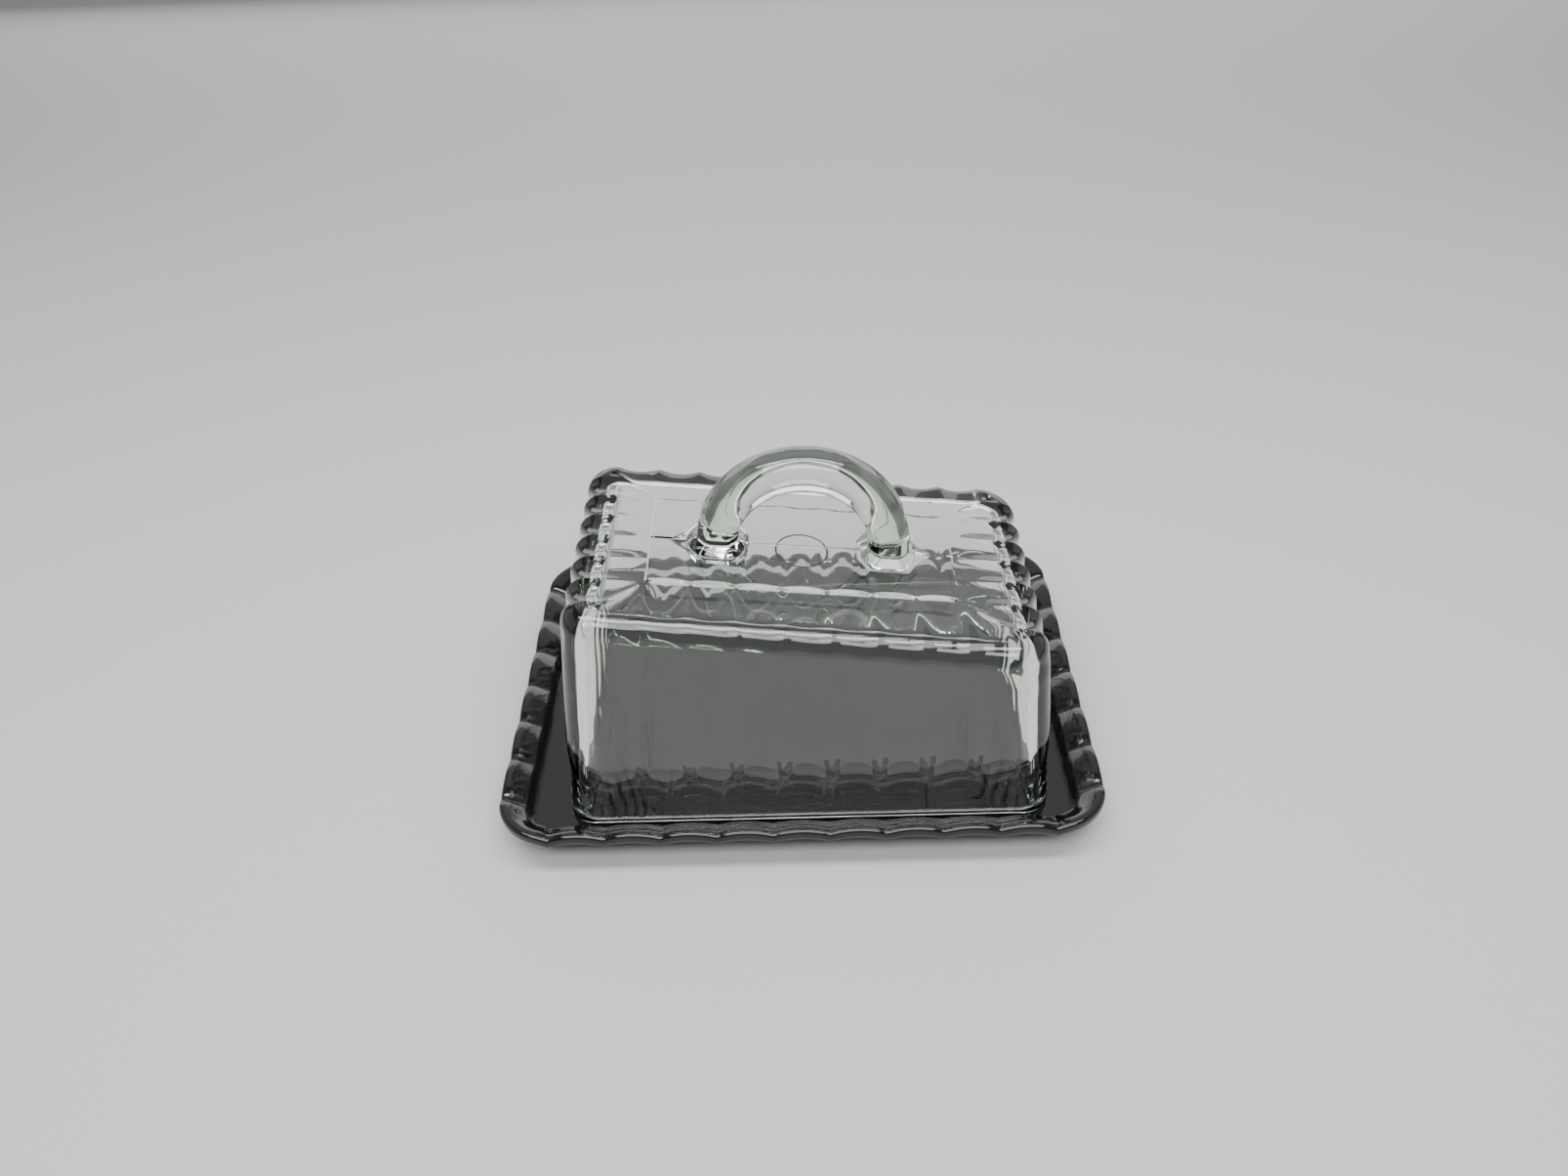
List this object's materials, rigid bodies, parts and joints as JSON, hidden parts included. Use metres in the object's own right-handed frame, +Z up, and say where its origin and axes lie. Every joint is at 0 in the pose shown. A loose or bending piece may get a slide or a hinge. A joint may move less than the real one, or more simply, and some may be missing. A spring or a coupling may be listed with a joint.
{
  "type": "butter dish",
  "caption": "Pressed-glass butter dish: a black glass tray with a scalloped rim, and a clear fluted cover with a sloping top and a loop handle that lifts straight off.",
  "frame": {"origin": "centre of the tray's underside, on the table", "axes": "+X along the length, towards the lower end of the cover; +Y to the back; +Z up"},
  "size_m": [0.2, 0.144, 0.1176],
  "materials": {
    "black_glass": "opaque black pressed glass, fire-polished to a high gloss",
    "clear_glass": "clear pressed glass with a faint green tint in the thick edges"
  },
  "bodies": {
    "tray": {"tray": "black_glass"},
    "cover": {"cover": "clear_glass"}
  },
  "joints": [
    {"name": "cover_lift", "type": "slide", "parent": "tray", "child": "cover", "axis": [0, 0, 1], "range_m": [0, 0.12]}
  ]
}
